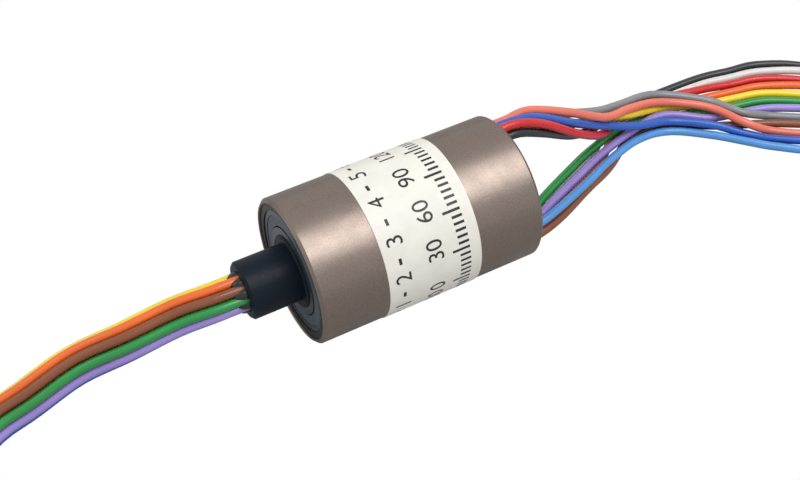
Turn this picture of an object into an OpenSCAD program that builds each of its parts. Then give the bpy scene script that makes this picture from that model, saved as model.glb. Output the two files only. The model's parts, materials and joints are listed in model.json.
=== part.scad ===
// Capsule slip ring, 12 circuits, with 12 leads from the turning shaft and 12 from the housing.
// The turning axis is X. The origin is on the axis, at the middle of the housing.
// -X is the shaft end, +X is the end with the two lead outlets, and +Z is up.
// The housing lies on a surface at z = -body_d / 2. All lengths are in millimetres.

/* [Housing] */
// Outside diameter of the housing
body_d = 12; // [11.8:0.1:12.6]
// Length of the housing
body_l = 19.3; // [19.2:0.1:21]
// Wall of the housing tube
body_wall = 0.4; // [0.35:0.05:0.45]
// Chamfer on the housing's outer edges
body_edge = 0.25; // [0.1:0.05:0.3]
// Width of the label that wraps the housing
label_w = 8; // [4:0.5:10]
// Thickness of the label
label_t = 0.06; // [0.04:0.01:0.1]
// How far the label's middle lies from the housing's middle, towards the shaft
label_shift = 0.1; // [0:0.1:1]

/* [Shaft] */
// Diameter of the shaft's nose
nose_d = 4.7; // [4.4:0.1:5]
// How far the nose stands out of the housing
nose_l = 4; // [3:0.25:6]
// Bore that carries the leads through the shaft
bore_d = 3.2; // [3.2:0.05:3.4]
// Chamfer at the nose's tip
nose_edge = 0.2; // [0.1:0.05:0.3]
// Diameter of the shaft under the contact rings
core_d = 4.4; // [4.2:0.05:4.5]
// Diameter of the shoulder behind the front bearing
shoulder_d = 6.6; // [6.4:0.1:6.8]
// Width of the shoulder behind the front bearing
shoulder_w = 0.4; // [0.3:0.05:0.4]
// Chamfer on the journal's end
journal_edge = 0.12; // [0.05:0.01:0.2]
// Height of the step that the rear bearing's inner race rests on
stub_step = 0.35; // [0.2:0.05:0.4]

/* [Front bearing] */
// Bore of the front bearing, which is also the journal's diameter
front_bore = 6; // [5.8:0.1:6]
// Outside diameter of the front bearing
front_od = 10; // [9.9:0.1:10.4]
// Width of the front bearing
front_w = 3; // [2.6:0.1:3]
// How far the bearing's face lies inside the housing's rim
front_recess = 0.25; // [0.2:0.05:0.6]
// How far the carrier's face lies inside the housing's rim
carrier_recess = 0.15; // [0.05:0.05:0.2]
// How far the journal stands proud of the bearing's face
journal_proud = 0.2; // [0.1:0.05:0.3]
// Ball diameter of the front bearing
front_ball_d = 1.2; // [1:0.05:1.3]
// Number of balls in the front bearing
front_balls = 9; // [7:1:10]
// Thickness of the front bearing's shields
shield_t = 0.12; // [0.1:0.02:0.2]
// Gap between a shield and the inner race
shield_gap = 0.1; // [0.06:0.02:0.2]
// Height of the carrier's step behind the bearing
carrier_step = 0.5; // [0.3:0.05:0.6]
// Share of a ball's radius that the cage's wall covers on each side
cage_share = 0.4; // [0.3:0.05:0.45]
// Width of the cage's rim past the balls
cage_rim = 0.15; // [0.1:0.05:0.2]

/* [Rear bearing] */
// Bore of the rear bearing
rear_bore = 3; // [2.6:0.1:3]
// Outside diameter of the rear bearing
rear_od = 6; // [5.8:0.1:6.2]
// Width of the rear bearing
rear_w = 2; // [1.8:0.1:2]
// Ball diameter of the rear bearing
rear_ball_d = 0.8; // [0.7:0.05:0.9]
// Number of balls in the rear bearing
rear_balls = 8; // [7:1:9]

/* [Contacts] */
// Number of circuits
circuits = 12; // [12:1:12]
// Outside diameter of a contact ring
ring_d = 5.6; // [5.4:0.1:5.8]
// Width of a contact ring
ring_w = 0.55; // [0.5:0.01:0.56]
// Depth of the V groove in a contact ring
groove_depth = 0.22; // [0.16:0.02:0.26]
// Half of the V groove's width at the ring's surface
groove_half = 0.2; // [0.16:0.01:0.24]
// Outside diameter of the barriers between the rings
barrier_d = 6.2; // [6:0.1:6.4]
// Width of a barrier
barrier_w = 0.38; // [0.3:0.01:0.38]
// Diameter of a brush spring's wire
brush_d = 0.2; // [0.16:0.02:0.24]
// Length of a brush spring past its contact point
brush_tip = 0.8; // [0.5:0.1:1]
// Angle at which a brush spring meets its ring, from the board's middle line
brush_angle = 58; // [52:1:62]
// Height of the solder at a brush spring's foot
solder_h = 0.12; // [0.12:0.01:0.18]
// Distance from the axis to a brush board's inner face
board_y = 4.1; // [4:0.05:4.15]
// Thickness of a brush board
board_t = 0.6; // [0.5:0.05:0.65]
// Width of a brush board
board_w = 5.4; // [4.6:0.1:5.4]

/* [Rear cap] */
// How far the rear cap's face lies inside the housing's rear rim
cap_recess = 0.2; // [0.1:0.05:0.4]
// Gap between the last barrier and the rear cap
cap_gap = 0.36; // [0.3:0.02:0.5]
// Height of the cap's step behind the rear bearing
cap_step = 0.6; // [0.4:0.05:0.8]
// Depth of the relief for the shaft's end, past the rear bearing
cap_relief = 0.5; // [0.4:0.05:0.8]
// Angle of the first lead outlet round the axis, from +Y towards +Z
outlet_angle = 62; // [50:1:80]
// Distance from the axis to the inner row of leads in an outlet
outlet_r = 4.1; // [4:0.05:4.15]
// Clearance round the leads in an outlet
outlet_clear = 0.08; // [0.06:0.01:0.1]
// How deep the potting fills each outlet and the bore
potting_l = 2; // [1:0.25:2.5]
// How far the potting's dome stands out of the bore
potting_dome = 0.6; // [0.3:0.1:0.8]

/* [Leads] */
// Outside diameter of a lead
wire_d = 0.75; // [0.7:0.01:0.78]
// Side of a lead outlet's grid, from wire middle to wire middle
wire_pitch = 0.81; // [0.8:0.01:0.84]
// Radius of the tightest turn of a hank, at the middle of the bundle
fold_r = 3.75; // [3.6:0.05:4]
// Length of the straight runs of the hank on the shaft's side
rotor_run = 13.5; // [12:0.5:15]
// Length of the straight runs of the hank on the housing's side
stator_run = 11.5; // [11:0.5:15]
// Width of a hank's tie
tie_w = 2.4; // [1.5:0.1:3]
// Thickness of a hank's tie
tie_t = 0.3; // [0.2:0.05:0.4]

/* [Fits] */
// Clearance between pieces that are pushed together
fit = 0.01; // [0.005:0.005:0.02]
// Clearance between balls and races, and round what turns
run_gap = 0.03; // [0.02:0.01:0.05]
// Gap between a brush and its ring, before the spring's own bend
brush_gap = 0.03; // [0.02:0.01:0.05]

/* [Hidden] */
$fn = 96;

// Radii
body_r = body_d / 2;
liner_r = body_r - body_wall;
nose_r = nose_d / 2;
bore_r = bore_d / 2;
core_r = core_d / 2;
ring_r = ring_d / 2;
barrier_r = barrier_d / 2;
brush_r = brush_d / 2;
wire_r = wire_d / 2;

// Stations along the axis, from the shaft end to the outlet end
rim_x = -body_l / 2;
tip_x = rim_x - nose_l;
bearing_x = rim_x + front_recess;
bearing_end_x = bearing_x + front_w;
journal_x = bearing_x - journal_proud;
carrier_lip = 0.4;
carrier_end_x = bearing_end_x + carrier_lip;
stack_x = bearing_end_x + shoulder_w;
ring_pitch = ring_w + barrier_w;
stack_end_x = stack_x + circuits * ring_pitch + barrier_w;
cap_x = stack_end_x + cap_gap;
cap_face_x = body_l / 2 - cap_recess;
bore_end_x = stack_end_x - 0.6;
shaft_end_x = cap_x + rear_w + 0.2;

// Both bearings share their proportions: [bore, outside, width, ball, count]
FRONT = [front_bore / 2, front_od / 2, front_w, front_ball_d / 2, front_balls];
REAR = [rear_bore / 2, rear_od / 2, rear_w, rear_ball_d / 2, rear_balls];
function pitch_r(b) = (b[0] + b[1]) / 2;
function land(b) = b[3] * 2 / 3;
// A ball's track in a race, as an arc from one land to the other; way is 1 outwards, -1 inwards
function track(b, way) =
    let (r = b[3] + run_gap, start = asin(land(b) / r))
    [for (i = [0 : 12]) let (a = start + i * (180 - 2 * start) / 12)
        [b[2] / 2 + r * cos(a), pitch_r(b) + way * r * sin(a)]];
shield_seat = 0.2;
shield_depth = shield_t + 0.06;

// A bundle's twelve places: three leads in the middle and nine round them
SLOT_INNER = 0.46;
SLOT_OUTER = 1.2;
function slot(k, turn = 0) =
    k < 3 ? SLOT_INNER * [cos(120 * k + turn), sin(120 * k + turn)]
          : SLOT_OUTER * [cos(40 * k - 100 + turn), sin(40 * k - 100 + turn)];
bundle_r = SLOT_OUTER + wire_r;

// A hank: the bundle goes round four times, two turns side by side and two above them
lane = 2 * bundle_r + 0.05;
hank_r = fold_r + lane + bundle_r;
hank_h = lane + 2 * bundle_r + tie_t;
floor_z = -body_r - label_t;
lane_z = floor_z + tie_t + bundle_r;
hank_y = 1.1;
rotor_hank_x = -49.5;
stator_hank_x = 63;

// Middle line of the bundle that leaves the shaft, down to its hank
ROTOR_ROUTE = [
    [-14.35, 0, 0], [-16, 0, 0], [-19, 0.5, -0.5], [-23, 0.5, -1], [-27, 1, -2],
    [-31, 0.5, -3], [-34, 0, -3.5], [-37, -1.5, -4], [-39.5, -3.5, -4], [-41.5, -4.5, -4]
];
rotor_twist = -150;

// The leads of the housing leave each outlet as a group of two rows and three columns, which turns
// over as it comes down. All twelve then lie on each other, spread out side by side and are
// gathered again.
// Stations of the groups: the middle, the heading and the turn of the upper and of the lower group
GROUP_STATIONS = [
    [[[14, 2.5, 3], 8, 0], [[18, 3, 0.5], 10, 45], [[22, 4, -2], 12, 90]],
    [[[14, -1, -4], 18, -14], [[18, 1, -4.5], 26, 0], [[21.5, 2.7, -5.1], 26, 0]]
];
// Stations of all twelve: the middle on the surface and the heading
PILE_STATIONS = [
    [[25.5, 4.5], 12], [[29.5, 5.2], -4], [[34, 4], -26], [[36.7, 2.8], -28],
    [[39.3, 1.6], -30], [[43, -0.8], -33], [[47.5, -3.9], -26], [[52, -5], -12]
];
// Each lead of the housing: its place in an outlet as [outlet, row, column], its place in the
// bundle, and how far back and how far up it lies at each station of all twelve
STATOR_LAYS = [
    // black
    [[0, 0, 1], 11, [[2.4, 0.9], [2.4, 0], [3.9, 0], [4.7, 0], [5.5, 0], [5.5, 0], [2.8, 0], [2.1, 0.2]]],
    // brown
    [[1, 1, -1], 1, [[-0.6, 0], [-1.2, 0], [-2.4, 0], [-2.5, 0], [-2.5, 0], [-2.5, 0.3], [-1.4, 0.9], [-0.9, 1.6]]],
    // red
    [[0, 1, 1], 10, [[1.1, 1.6], [1.1, 0.8], [2.1, 0.3], [2.9, 0], [3.5, 0], [3.5, 0], [1.9, 0], [1.3, 0]]],
    // orange
    [[1, 1, 0], 4, [[0.8, 0], [0.6, 0], [1.2, 0], [1.9, 0], [2.5, 0], [2.5, 0.3], [1.4, 0.9], [1.2, 1.9]]],
    // yellow
    [[0, 0, 0], 0, [[0.1, 2.4], [0.1, 0.8], [0.3, 0.1], [1, 0], [1.5, 0], [1.5, 0], [0.9, 0.1], [0.7, 0.9]]],
    // green
    [[1, 0, 1], 9, [[0.3, 0.9], [-0.3, 0], [-0.6, 0], [0, 0], [0.5, 0], [0.5, 0], [0, 0], [0.2, 0]]],
    // blue
    [[0, 1, 0], 6, [[-1, 1.9], [-1.7, 0.8], [-3, 0.7], [-3.6, 0], [-4.5, 0], [-4.5, 0.3], [-2.3, 0.9], [-1.8, 1.5]]],
    // violet
    [[1, 0, 0], 5, [[-0.6, 0.9], [-0.8, 0.8], [-1.5, 0.1], [-1, 0], [-0.5, 0], [-0.5, 0.3], [-0.4, 0.9], [0.1, 2.2]]],
    // grey
    [[0, 0, -1], 2, [[1.1, 3], [1.1, 1.7], [-0.1, 1], [-1.7, 0.8], [-1.5, 0], [-1.5, 0], [-0.9, 0], [-0.6, 0.8]]],
    // white
    [[1, 1, 1], 3, [[1.7, 0], [1.5, 0], [3, 0], [3.8, 0], [4.5, 0], [4.5, 0.3], [2.4, 0.9], [2, 1.1]]],
    // pink
    [[0, 1, -1], 8, [[0, 3.3], [0, 1.7], [-1, 1], [-3.1, 0.9], [-3.5, 0], [-3.5, 0], [-1.9, 0], [-1.3, 0.1]]],
    // light blue
    [[1, 0, -1], 7, [[-1.5, 0.6], [-2.2, 0], [-3.6, 0], [-4.6, 0], [-5.5, 0], [-5.5, 0], [-2.8, 0], [-2.2, 0.5]]]
];
// Where the bundle of the housing's leads is complete, and how straight a lead leaves its outlet
gather_x = 56.2;
outlet_straight = 2;
// How far apart the leads of a group hang, and how far the leads lie off the surface
group_pitch = 1;
lead_clear = 0.08;

// Insulation colours, in the order of the circuits
LEAD_COLOURS = [
    [0.05, 0.05, 0.06], [0.36, 0.17, 0.09], [0.80, 0.08, 0.06], [0.93, 0.40, 0.08],
    [0.95, 0.80, 0.10], [0.10, 0.60, 0.20], [0.10, 0.22, 0.70], [0.50, 0.35, 0.72],
    [0.50, 0.52, 0.54], [0.92, 0.90, 0.88], [0.95, 0.62, 0.60], [0.45, 0.68, 0.90]
];
POTTING = [0.04, 0.04, 0.045];
STEEL = [0.72, 0.73, 0.74];
BOARD = [0.10, 0.32, 0.20];
GOLD = [0.85, 0.68, 0.30];

function unit(v) = v / norm(v);

// A point on the smooth curve through the points p; u counts the points
function curve(p, u) =
    let (
        n = len(p),
        i = min(floor(u), n - 2),
        t = u - i,
        a = p[max(i - 1, 0)],
        b = p[i],
        c = p[i + 1],
        d = p[min(i + 2, n - 1)]
    )
    (2 * b + (c - a) * t + (2 * a - 5 * b + 4 * c - d) * t ^ 2 + (3 * b - a - 3 * c + d) * t ^ 3) / 2;
function along(p, steps) = [for (i = [0 : steps]) curve(p, (len(p) - 1) * i / steps)];
function ahead(path, i) = unit(path[min(i + 1, len(path) - 1)] - path[max(i - 1, 0)]);
function aside(path, i) = unit(cross([0, 0, 1], ahead(path, i)));
function above(path, i) = cross(ahead(path, i), aside(path, i));

// A round tube along the points of path, as one closed solid
module tube(path, r, sides = 8) {
    n = len(path);
    rings = [
        for (i = [0 : n - 1], k = [0 : sides - 1])
            path[i] + r * (cos(360 * k / sides) * aside(path, i) + sin(360 * k / sides) * above(path, i))
    ];
    walls = [
        for (i = [0 : n - 2], k = [0 : sides - 1])
            let (a = i * sides + k, b = i * sides + (k + 1) % sides)
            each [[a, b + sides, b], [a, a + sides, b + sides]]
    ];
    near_end = [for (k = [0 : sides - 1]) k];
    far_end = [for (k = [sides - 1 : -1 : 0]) (n - 1) * sides + k];
    polyhedron(points = rings, faces = concat([near_end], walls, [far_end]));
}

// A solid turned round the X axis from an outline of [x, radius] points
module turned(outline) {
    rotate([0, 90, 0])
        rotate_extrude()
            polygon([for (p = outline) [p[1], p[0]]]);
}

module along_x(x, r, l) {
    translate([x, 0, 0])
        rotate([0, 90, 0])
            cylinder(r = r, h = l);
}

// A turned tube from x0 to x1
module sleeve(x0, x1, inner, outer) {
    turned([[x0, inner], [x1, inner], [x1, outer], [x0, outer]]);
}

module housing() {
    lip = (body_wall - body_edge) / 2;
    color([0.62, 0.56, 0.50])
        turned([
            [-body_l / 2, liner_r + lip], [lip - body_l / 2, liner_r],
            [body_l / 2, liner_r], [body_l / 2, body_r - body_edge],
            [body_l / 2 - body_edge, body_r], [body_edge - body_l / 2, body_r],
            [-body_l / 2, body_r - body_edge]
        ]);
}

module label() {
    color([0.93, 0.92, 0.88])
        sleeve(-label_shift - label_w / 2, -label_shift + label_w / 2, body_r, body_r + label_t);
}

// Ring that holds the front bearing in the housing's mouth
module bearing_carrier() {
    seat = front_od / 2 + fit;
    lip_r = front_od / 2 - carrier_step;
    color([0.07, 0.07, 0.08])
        turned([
            [rim_x + carrier_recess, seat], [rim_x + carrier_recess, liner_r - fit],
            [carrier_end_x, liner_r - fit], [carrier_end_x, lip_r],
            [bearing_end_x, lip_r], [bearing_end_x, seat]
        ]);
}

// Place of a lead in an outlet, at the distance x along the axis
function outlet_point(place, x) =
    let (
        a = outlet_angle + 180 * place[0],
        out = outlet_r + place[1] * wire_pitch,
        across = place[2] * wire_pitch
    )
    [x, out * cos(a) - across * sin(a), out * sin(a) + across * cos(a)];

module outlets(r, x, l) {
    for (side = [0, 1], row = [0, 1], column = [-1 : 1])
        translate(outlet_point([side, row, column], x))
            rotate([0, 90, 0])
                cylinder(r = r, h = l, $fn = 32);
}

// Plug that closes the housing, seats the rear bearing and lets the leads out
module rear_cap() {
    color([0.10, 0.10, 0.11])
        difference() {
            along_x(cap_x, liner_r - fit, cap_face_x - cap_x);
            along_x(cap_x - 1, rear_od / 2 + fit, rear_w + 1);
            along_x(cap_x, rear_od / 2 - cap_step, rear_w + cap_relief);
            outlets(wire_r + outlet_clear, cap_x - 1, cap_face_x - cap_x + 2);
        }
}

module outlet_potting() {
    color(POTTING)
        outlets(wire_r + outlet_clear - fit, cap_face_x - potting_l, potting_l);
}

module rotor_potting() {
    r = bore_r - fit;
    dome_r = (r ^ 2 + potting_dome ^ 2) / (2 * potting_dome);
    sweep = asin(r / dome_r);
    dome = [
        for (i = [0 : 8]) let (a = sweep * (1 - i / 8))
            [tip_x - potting_dome + dome_r * (1 - cos(a)), dome_r * sin(a)]
    ];
    color(POTTING)
        turned(concat([[tip_x + potting_l, 0], [tip_x + potting_l, r]], dome));
}

module outer_race(b, x, rebate) {
    bore = pitch_r(b) + land(b);
    seat = bore + rebate;
    depth = rebate > 0 ? shield_depth : 0;
    faces_in = rebate > 0 ? [[0, seat], [depth, seat], [depth, bore]] : [[0, bore]];
    faces_out = [for (i = [len(faces_in) - 1 : -1 : 0]) [b[2] - faces_in[i][0], faces_in[i][1]]];
    ball_track = track(b, 1);
    groove = [for (i = [len(ball_track) - 1 : -1 : 0]) ball_track[i]];
    translate([x, 0, 0])
        turned(concat([[0, b[1]]], faces_in, groove, faces_out, [[b[2], b[1]]]));
}

module inner_race(b, x) {
    edge = pitch_r(b) - land(b);
    ball_track = track(b, -1);
    groove = [for (i = [len(ball_track) - 1 : -1 : 0]) ball_track[i]];
    translate([x, 0, 0])
        turned(concat([[0, b[0]], [0, edge]], groove, [[b[2], edge], [b[2], b[0]]]));
}

module at_balls(b, x) {
    for (i = [0 : b[4] - 1])
        rotate([360 * i / b[4], 0, 0])
            translate([x + b[2] / 2, pitch_r(b), 0])
                children();
}

module balls(b, x) {
    at_balls(b, x)
        sphere(r = b[3], $fn = 48);
}

// Ring between the races, with a pocket for each ball
module cage(b, x) {
    half = b[3] * cage_share;
    reach = b[3] + cage_rim;
    middle = x + b[2] / 2;
    difference() {
        sleeve(middle - reach, middle + reach, pitch_r(b) - half, pitch_r(b) + half);
        at_balls(b, x)
            sphere(r = b[3] + run_gap, $fn = 48);
    }
}

module front_bearing_outer_race() {
    color(STEEL) outer_race(FRONT, bearing_x, shield_seat);
}

module front_bearing_inner_race() {
    color(STEEL) inner_race(FRONT, bearing_x);
}

module front_bearing_balls() {
    color(STEEL) balls(FRONT, bearing_x);
}

module front_bearing_cage() {
    color([0.60, 0.50, 0.30]) cage(FRONT, bearing_x);
}

module front_bearing_shields() {
    inner = pitch_r(FRONT) - land(FRONT) + shield_gap;
    outer = pitch_r(FRONT) + land(FRONT) + shield_seat - fit;
    start = shield_depth - shield_t;
    color([0.42, 0.45, 0.48])
        for (x = [start, front_w - shield_depth])
            translate([bearing_x + x, 0, 0])
                sleeve(0, shield_t, inner, outer);
}

module rear_bearing_outer_race() {
    color(STEEL) outer_race(REAR, cap_x, 0);
}

module rear_bearing_inner_race() {
    color(STEEL) inner_race(REAR, cap_x);
}

module rear_bearing_balls() {
    color(STEEL) balls(REAR, cap_x);
}

module rear_bearing_cage() {
    color([0.60, 0.50, 0.30]) cage(REAR, cap_x);
}

// Hollow shaft: nose, journal, shoulder, core for the contact rings and rear journal
module rotor_shaft() {
    journal_r = front_bore / 2 - fit;
    stub_r = rear_bore / 2 - fit;
    color([0.10, 0.13, 0.16])
        turned([
            [tip_x, bore_r], [tip_x, nose_r - nose_edge], [tip_x + nose_edge, nose_r],
            [journal_x, nose_r], [journal_x, journal_r - journal_edge],
            [journal_x + journal_edge, journal_r], [bearing_end_x, journal_r],
            [bearing_end_x, shoulder_d / 2], [stack_x, shoulder_d / 2],
            [stack_x, core_r - fit], [stack_end_x, core_r - fit],
            [stack_end_x, stub_r + stub_step], [cap_x, stub_r + stub_step],
            [cap_x, stub_r], [shaft_end_x, stub_r],
            [shaft_end_x, 0], [bore_end_x, 0], [bore_end_x, bore_r]
        ]);
}

// One contact ring, with the V groove that its brushes run in
module contact_ring(k) {
    x = stack_x + barrier_w + k * ring_pitch;
    middle = x + ring_w / 2;
    color(GOLD)
        turned([
            [x, core_r], [x + ring_w, core_r], [x + ring_w, ring_r], [middle + groove_half, ring_r],
            [middle, ring_r - groove_depth], [middle - groove_half, ring_r], [x, ring_r]
        ]);
}

module ring_barriers() {
    color([0.16, 0.15, 0.14])
        for (k = [0 : circuits])
            translate([stack_x + k * ring_pitch, 0, 0])
                sleeve(0, barrier_w, core_r, barrier_r);
}

module brush_board(side) {
    color(BOARD)
        rotate([180 * side, 0, 0])
            translate([carrier_end_x, board_y, -board_w / 2])
                cube([cap_x - carrier_end_x, board_t, board_w]);
}

// Two sprung wires for each ring, which leave a board and lie in the ring's groove from both sides
module brush_springs(side) {
    lie = brush_r / sin(atan(groove_half / groove_depth));
    track_r = ring_r - groove_depth + lie + brush_gap;
    foot_y = board_y - solder_h / 2;
    reach = (foot_y - track_r * cos(brush_angle)) / sin(brush_angle);
    foot_z = track_r * sin(brush_angle) - reach * cos(brush_angle);
    color(GOLD)
        rotate([180 * side, 0, 0])
            for (k = [0 : circuits - 1], way = [0, 1])
                translate([stack_x + barrier_w + k * ring_pitch + ring_w / 2, 0, 0])
                    mirror([0, 0, way]) {
                        translate([0, track_r * cos(brush_angle), track_r * sin(brush_angle)])
                            rotate([180 + brush_angle, 0, 0])
                                translate([0, 0, -brush_tip])
                                    cylinder(r = brush_r, h = reach + brush_tip, $fn = 16);
                        translate([0, board_y - solder_h, foot_z])
                            rotate([-90, 0, 0])
                                cylinder(r = 2 * brush_r, h = solder_h, $fn = 16);
                    }
}

// A lead of the bundle that leaves the shaft, from the dome to the hank
module rotor_lead(k) {
    steps = 14;
    middle = along(ROTOR_ROUTE, steps);
    color(LEAD_COLOURS[k])
        tube([
            for (i = [0 : steps])
                let (s = slot(k, rotor_twist * i / steps))
                middle[i] + s[0] * aside(middle, i) + s[1] * above(middle, i)
        ], wire_r);
}

// A point so far back and so far up from the middle of a station
function beside(middle, heading, back, up) =
    middle + [-back * sin(heading), back * cos(heading), up];

// A lead's way down in the group of its outlet
function group_way(place) = [
    for (g = GROUP_STATIONS[place[0]])
        let (
            out = place[0] == 0 ? 1 : -1,
            back = -out * place[2] * group_pitch,
            up = out * (place[1] - 0.5) * group_pitch,
            turn = g[2]
        )
        beside(g[0], g[1], back * cos(turn) - up * sin(turn), back * sin(turn) + up * cos(turn))
];

// A lead's way through the stations of all twelve
function pile_way(lays) = [
    for (i = [0 : len(PILE_STATIONS) - 1])
        let (p = PILE_STATIONS[i])
        beside([p[0][0], p[0][1], floor_z + wire_r + lead_clear], p[1], lays[i][0], lays[i][1])
];

// A lead of the housing, from its outlet to the bundle
module stator_lead(k) {
    lay = STATOR_LAYS[k];
    s = slot(lay[1]);
    route = concat(
        [outlet_point(lay[0], cap_face_x), outlet_point(lay[0], cap_face_x + outlet_straight)],
        group_way(lay[0]),
        pile_way(lay[2]),
        [[gather_x, hank_y - fold_r - lane + s[0], lane_z + s[1]]]
    );
    color(LEAD_COLOURS[k])
        tube(along(route, 2 * (len(route) - 1)), wire_r);
}

module hank_outline(near_x, run) {
    for (x = [near_x, near_x + run])
        translate([x, hank_y])
            circle(r = hank_r);
    translate([min(near_x, near_x + run), hank_y - hank_r])
        square([abs(run), 2 * hank_r]);
}

module tie(x) {
    translate([x - tie_w / 2, hank_y - hank_r, floor_z])
        difference() {
            cube([tie_w, 2 * hank_r, hank_h]);
            translate([-1, tie_t, tie_t])
                cube([tie_w + 2, 2 * (hank_r - tie_t), hank_h - 2 * tie_t]);
        }
}

// The wound length of twelve leads, with a waist where its tie goes round
module hank(near_x, run) {
    color([0.45, 0.35, 0.35])
        difference() {
            translate([0, 0, floor_z])
                linear_extrude(hank_h)
                    hank_outline(near_x, run);
            tie(near_x + run / 2);
        }
}

module rotor_hank() {
    hank(rotor_hank_x, -rotor_run);
}

module stator_hank() {
    hank(stator_hank_x, stator_run);
}

module hank_ties() {
    color([0.12, 0.12, 0.12]) {
        tie(rotor_hank_x - rotor_run / 2);
        tie(stator_hank_x + stator_run / 2);
    }
}

housing();
label();
rear_cap();
bearing_carrier();
front_bearing_outer_race();
front_bearing_inner_race();
front_bearing_balls();
front_bearing_cage();
front_bearing_shields();
rear_bearing_outer_race();
rear_bearing_inner_race();
rear_bearing_balls();
rear_bearing_cage();
rotor_shaft();
ring_barriers();
brush_board(0);  // brush_board_a
brush_board(1);  // brush_board_b
brush_springs(0);  // brush_springs_a
brush_springs(1);  // brush_springs_b
rotor_potting();
outlet_potting();
contact_ring(0);  // contact_ring_01
contact_ring(1);  // contact_ring_02
contact_ring(2);  // contact_ring_03
contact_ring(3);  // contact_ring_04
contact_ring(4);  // contact_ring_05
contact_ring(5);  // contact_ring_06
contact_ring(6);  // contact_ring_07
contact_ring(7);  // contact_ring_08
contact_ring(8);  // contact_ring_09
contact_ring(9);  // contact_ring_10
contact_ring(10);  // contact_ring_11
contact_ring(11);  // contact_ring_12
rotor_lead(0);  // rotor_lead_01
rotor_lead(1);  // rotor_lead_02
rotor_lead(2);  // rotor_lead_03
rotor_lead(3);  // rotor_lead_04
rotor_lead(4);  // rotor_lead_05
rotor_lead(5);  // rotor_lead_06
rotor_lead(6);  // rotor_lead_07
rotor_lead(7);  // rotor_lead_08
rotor_lead(8);  // rotor_lead_09
rotor_lead(9);  // rotor_lead_10
rotor_lead(10);  // rotor_lead_11
rotor_lead(11);  // rotor_lead_12
stator_lead(0);  // stator_lead_01
stator_lead(1);  // stator_lead_02
stator_lead(2);  // stator_lead_03
stator_lead(3);  // stator_lead_04
stator_lead(4);  // stator_lead_05
stator_lead(5);  // stator_lead_06
stator_lead(6);  // stator_lead_07
stator_lead(7);  // stator_lead_08
stator_lead(8);  // stator_lead_09
stator_lead(9);  // stator_lead_10
stator_lead(10);  // stator_lead_11
stator_lead(11);  // stator_lead_12
rotor_hank();
stator_hank();
hank_ties();
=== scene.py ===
"""A capsule slip ring with twelve circuits, lying on a surface with its leads.

The turned and moulded pieces come from the frame and get their finishes here. The leads, the
potting round them, the straps of their hanks and the print on the label are modelled here.
"""

import json
import logging
import math
from dataclasses import dataclass, field
from enum import Enum
from typing import Callable, Sequence

import bpy
from mathutils import Matrix, Vector


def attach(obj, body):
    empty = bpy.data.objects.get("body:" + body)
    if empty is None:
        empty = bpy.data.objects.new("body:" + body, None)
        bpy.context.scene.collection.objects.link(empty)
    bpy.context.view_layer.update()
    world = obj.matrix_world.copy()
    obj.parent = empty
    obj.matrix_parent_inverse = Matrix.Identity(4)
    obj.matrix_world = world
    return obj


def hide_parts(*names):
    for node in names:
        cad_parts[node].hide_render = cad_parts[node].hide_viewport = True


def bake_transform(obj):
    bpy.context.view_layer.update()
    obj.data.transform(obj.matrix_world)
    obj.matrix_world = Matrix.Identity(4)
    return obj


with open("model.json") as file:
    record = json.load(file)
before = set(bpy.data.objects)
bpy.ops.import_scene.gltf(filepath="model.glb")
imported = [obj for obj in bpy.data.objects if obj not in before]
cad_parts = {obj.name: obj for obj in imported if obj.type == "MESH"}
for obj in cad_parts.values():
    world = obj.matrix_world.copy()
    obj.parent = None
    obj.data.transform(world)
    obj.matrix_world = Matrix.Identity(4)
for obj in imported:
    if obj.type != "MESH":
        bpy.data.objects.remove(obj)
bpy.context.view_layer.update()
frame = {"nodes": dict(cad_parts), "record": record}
log = logging.getLogger("slip_ring")
MM = 0.001


# ---------------------------------------------------------------------------------------------
# Shared helpers
# ---------------------------------------------------------------------------------------------


def select_only(obj: bpy.types.Object) -> None:
    """Makes obj the one object that operators act on.

    Args:
        obj: The object to select.
    """
    bpy.ops.object.select_all(action="DESELECT")
    obj.select_set(True)
    bpy.context.view_layer.objects.active = obj


def added(name: str) -> bpy.types.Object:
    """Names the object that an operator has just added.

    Args:
        name: The piece's name.

    Returns:
        The named object.
    """
    obj = bpy.context.active_object
    obj.name = name
    obj.data.name = name
    return obj


def settle(obj: bpy.types.Object) -> bpy.types.Object:
    """Puts an object's place, turn and size into its mesh.

    Args:
        obj: The object to settle.

    Returns:
        The same object, at the origin.
    """
    select_only(obj)
    bpy.ops.object.transform_apply(location=True, rotation=True, scale=True)
    return obj


def join(pieces: Sequence[bpy.types.Object], name: str) -> bpy.types.Object:
    """Joins meshes into one.

    Args:
        pieces: The meshes, which become one.
        name: The joined piece's name.

    Returns:
        The joined piece.
    """
    bpy.ops.object.select_all(action="DESELECT")
    for piece in pieces:
        piece.select_set(True)
    bpy.context.view_layer.objects.active = pieces[0]
    bpy.ops.object.join()
    return added(name)


def catmull_rom(points: Sequence[Vector], u: float) -> Vector:
    """A point on the smooth curve through points.

    Args:
        points: The points that the curve goes through.
        u: How far along, counted in points.

    Returns:
        The point at u.
    """
    i = min(int(u), len(points) - 2)
    t = u - i
    a, b = points[max(i - 1, 0)], points[i]
    c, d = points[i + 1], points[min(i + 2, len(points) - 1)]
    return (
        2 * b + (c - a) * t + (2 * a - 5 * b + 4 * c - d) * t**2 + (3 * b - a - 3 * c + d) * t**3
    ) / 2


def arc_length(points: Sequence[Vector]) -> float:
    """Measures a line.

    Args:
        points: The line's points.

    Returns:
        The line's length.
    """
    return sum((b - a).length for a, b in zip(points, points[1:]))


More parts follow.
